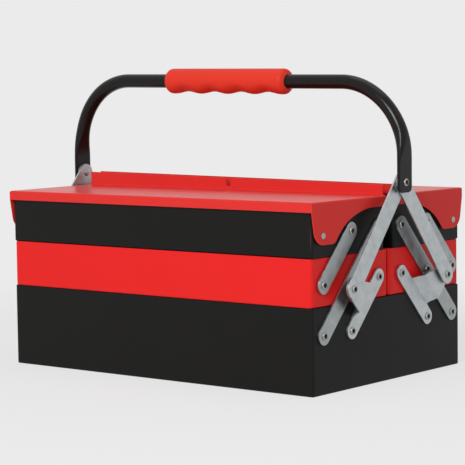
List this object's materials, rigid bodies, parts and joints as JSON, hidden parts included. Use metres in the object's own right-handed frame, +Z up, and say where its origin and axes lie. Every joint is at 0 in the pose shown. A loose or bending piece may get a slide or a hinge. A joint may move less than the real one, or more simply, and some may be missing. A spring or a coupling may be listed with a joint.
{
  "type": "cantilever tool box",
  "caption": "Sheet steel tool box whose mid and top trays swing out to both sides on link arms, with hinged lids and a swinging tube handle.",
  "frame": {"origin": "middle of the base, on the surface that the box stands on", "axes": "+X along the length, to the right seen from the front; +Y to the rear; +Z up"},
  "size_m": [0.4876, 0.286, 0.3395],
  "materials": {
    "black_paint": "satin powder coat",
    "red_paint": "semi-gloss powder coat",
    "handle_paint": "gloss enamel",
    "grip_plastic": "soft moulded PVC",
    "zinc_plate": "bright zinc plating",
    "rivet_steel": "zinc plated"
  },
  "bodies": {
    "base": {"lower_box": "black_paint", "base_rivets": "rivet_steel"},
    "front_plates": {"front_left_lower_plate": "zinc_plate", "front_right_lower_plate": "zinc_plate", "front_lug_rivets": "rivet_steel"},
    "front_long_links": {"front_left_long_link": "zinc_plate", "front_right_long_link": "zinc_plate"},
    "front_mid": {"front_mid_tray": "red_paint", "front_mid_rivets": "rivet_steel"},
    "front_upper_links": {"front_left_upper_link": "zinc_plate", "front_right_upper_link": "zinc_plate"},
    "front_top": {"front_top_tray": "black_paint", "front_top_rivets": "rivet_steel", "front_lid_rivets": "rivet_steel"},
    "front_lid_body": {"front_lid": "red_paint"},
    "rear_plates": {"rear_left_lower_plate": "zinc_plate", "rear_right_lower_plate": "zinc_plate", "rear_lug_rivets": "rivet_steel"},
    "rear_long_links": {"rear_left_long_link": "zinc_plate", "rear_right_long_link": "zinc_plate"},
    "rear_mid": {"rear_mid_tray": "red_paint", "rear_mid_rivets": "rivet_steel"},
    "rear_upper_links": {"rear_left_upper_link": "zinc_plate", "rear_right_upper_link": "zinc_plate"},
    "rear_top": {"rear_top_tray": "black_paint", "rear_top_rivets": "rivet_steel", "rear_lid_rivets": "rivet_steel"},
    "rear_lid_body": {"rear_lid": "red_paint"},
    "handle_pins": {"handle_rivets": "rivet_steel"},
    "front_arms": {"front_left_handle_arm": "zinc_plate", "front_right_handle_arm": "zinc_plate", "front_arm_rivets": "rivet_steel"},
    "rear_arms": {"rear_left_handle_arm": "zinc_plate", "rear_right_handle_arm": "zinc_plate", "rear_arm_rivets": "rivet_steel"},
    "handle": {"handle_tube": "handle_paint", "handle_grip": "grip_plastic"}
  },
  "joints": [
    {"name": "open", "type": "hinge", "parent": "base", "child": "front_plates", "pos_m": [0, -0.072, 0.062], "axis": [1, 0, 0], "range_deg": [0, 86.6]},
    {"name": "front_mid_level", "type": "hinge", "parent": "front_plates", "child": "front_mid", "pos_m": [0, -0.022, 0.115], "axis": [1, 0, 0], "range_deg": [-86.7, 0]},
    {"name": "front_long_swing", "type": "hinge", "parent": "base", "child": "front_long_links", "pos_m": [0, -0.122, 0.062], "axis": [1, 0, 0], "range_deg": [0, 86.7]},
    {"name": "front_top_level", "type": "hinge", "parent": "front_long_links", "child": "front_top", "pos_m": [0, -0.022, 0.168], "axis": [1, 0, 0], "range_deg": [-86.7, 0]},
    {"name": "front_upper_swing", "type": "hinge", "parent": "front_mid", "child": "front_upper_links", "pos_m": [0, -0.122, 0.115], "axis": [1, 0, 0], "range_deg": [0, 86.7]},
    {"name": "front_lid_hinge", "type": "hinge", "parent": "front_top", "child": "front_lid_body", "pos_m": [0, -0.124, 0.1663], "axis": [1, 0, 0], "range_deg": [0, 95]},
    {"name": "rear_plate_swing", "type": "hinge", "parent": "base", "child": "rear_plates", "pos_m": [0, 0.072, 0.062], "axis": [-1, 0, 0], "range_deg": [0, 86.7]},
    {"name": "rear_mid_level", "type": "hinge", "parent": "rear_plates", "child": "rear_mid", "pos_m": [0, 0.022, 0.115], "axis": [-1, 0, 0], "range_deg": [-86.7, 0]},
    {"name": "rear_long_swing", "type": "hinge", "parent": "base", "child": "rear_long_links", "pos_m": [0, 0.122, 0.062], "axis": [-1, 0, 0], "range_deg": [0, 86.7]},
    {"name": "rear_top_level", "type": "hinge", "parent": "rear_long_links", "child": "rear_top", "pos_m": [0, 0.022, 0.168], "axis": [-1, 0, 0], "range_deg": [-86.7, 0]},
    {"name": "rear_upper_swing", "type": "hinge", "parent": "rear_mid", "child": "rear_upper_links", "pos_m": [0, 0.122, 0.115], "axis": [-1, 0, 0], "range_deg": [0, 86.7]},
    {"name": "rear_lid_hinge", "type": "hinge", "parent": "rear_top", "child": "rear_lid_body", "pos_m": [0, 0.124, 0.1663], "axis": [-1, 0, 0], "range_deg": [0, 95]},
    {"name": "handle_drop", "type": "slide", "parent": "base", "child": "handle_pins", "axis": [0, 0, -1], "range_m": [0, 0.0965]},
    {"name": "front_arm_swing", "type": "hinge", "parent": "handle_pins", "child": "front_arms", "pos_m": [0, 0, 0.2155], "axis": [1, 0, 0], "range_deg": [-20.1, 0]},
    {"name": "rear_arm_swing", "type": "hinge", "parent": "handle_pins", "child": "rear_arms", "pos_m": [0, 0, 0.2155], "axis": [-1, 0, 0], "range_deg": [-20.1, 0]},
    {"name": "handle_swing", "type": "hinge", "parent": "handle_pins", "child": "handle", "pos_m": [0, 0, 0.2155], "axis": [1, 0, 0], "range_deg": [-60, 60]}
  ],
  "couplings": [
    {"joint": "front_mid_level", "follows": "open", "ratio": -1},
    {"joint": "front_long_swing", "follows": "open", "ratio": 1},
    {"joint": "front_top_level", "follows": "open", "ratio": -1},
    {"joint": "front_upper_swing", "follows": "open", "ratio": 1},
    {"joint": "rear_plate_swing", "follows": "open", "ratio": 1},
    {"joint": "rear_mid_level", "follows": "open", "ratio": -1},
    {"joint": "rear_long_swing", "follows": "open", "ratio": 1},
    {"joint": "rear_top_level", "follows": "open", "ratio": -1},
    {"joint": "rear_upper_swing", "follows": "open", "ratio": 1},
    {"joint": "handle_drop", "follows": "open", "m_per_rad": 0.063778},
    {"joint": "front_arm_swing", "follows": "open", "ratio": -0.23168},
    {"joint": "rear_arm_swing", "follows": "open", "ratio": -0.23168}
  ]
}
